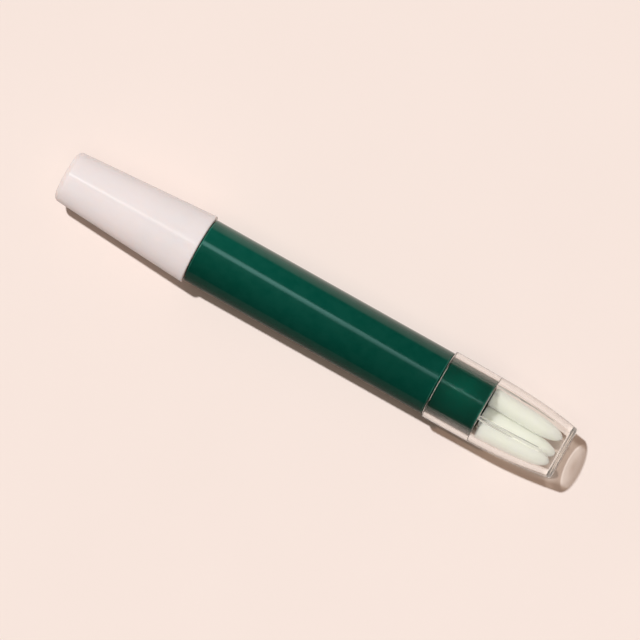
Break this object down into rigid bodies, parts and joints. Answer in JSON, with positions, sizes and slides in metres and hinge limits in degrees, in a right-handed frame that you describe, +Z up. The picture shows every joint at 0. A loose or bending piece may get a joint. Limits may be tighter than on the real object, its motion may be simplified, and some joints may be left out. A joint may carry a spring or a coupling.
{
  "type": "nail polish corrector pen",
  "caption": "Round pen with a pull-off tapered front cap over a fibre tip, a plain barrel with a fibre reservoir, and a clear pull-off end cap that stores spare tips.",
  "frame": {"origin": "under the middle of the pen's length, on the surface that it lies on", "axes": "+X along the pen from the front cap to the clear cap, +Z up"},
  "size_m": [0.125, 0.0164, 0.0164],
  "materials": {
    "white_plastic": "smooth pale pinkish white moulding",
    "green_plastic": "deep green, highly polished",
    "clear_plastic": "water-clear, polished inside and out",
    "natural_plastic": "soft natural white moulding",
    "tip_fibre": "pressed cream fibre, ground to a rounded point",
    "reservoir_fibre": "bundled white fibre",
    "film": "thin shiny film"
  },
  "bodies": {
    "pen_body": {"barrel": "green_plastic", "tip_holder": "natural_plastic", "feed_wick": "tip_fibre", "fibre_reservoir": "reservoir_fibre", "reservoir_wrap": "film", "rear_plug": "green_plastic"},
    "front_cap_body": {"front_cap": "white_plastic", "cap_inner_seal": "natural_plastic"},
    "working_tip_body": {"working_tip": "tip_fibre"},
    "clear_cap_body": {"spare_tip_cap": "clear_plastic"},
    "spare_tip_1_body": {"spare_tip_1": "tip_fibre"},
    "spare_tip_2_body": {"spare_tip_2": "tip_fibre"},
    "spare_tip_3_body": {"spare_tip_3": "tip_fibre"}
  },
  "joints": [
    {"name": "front_cap_pull", "type": "slide", "parent": "pen_body", "child": "front_cap_body", "axis": [-1, 0, 0], "range_m": [0, 0.04]},
    {"name": "clear_cap_pull", "type": "slide", "parent": "pen_body", "child": "clear_cap_body", "axis": [1, 0, 0], "range_m": [0, 0.03]},
    {"name": "working_tip_pull", "type": "slide", "parent": "pen_body", "child": "working_tip_body", "axis": [-1, 0, 0], "range_m": [0, 0.0063]},
    {"name": "spare_tip_1_slide", "type": "slide", "parent": "clear_cap_body", "child": "spare_tip_1_body", "axis": [-1, 0, 0], "range_m": [-0.0004, 0.0002]},
    {"name": "spare_tip_2_slide", "type": "slide", "parent": "clear_cap_body", "child": "spare_tip_2_body", "axis": [-1, 0, 0], "range_m": [-0.0004, 0.0002]},
    {"name": "spare_tip_3_slide", "type": "slide", "parent": "clear_cap_body", "child": "spare_tip_3_body", "axis": [-1, 0, 0], "range_m": [-0.0004, 0.0002]}
  ]
}
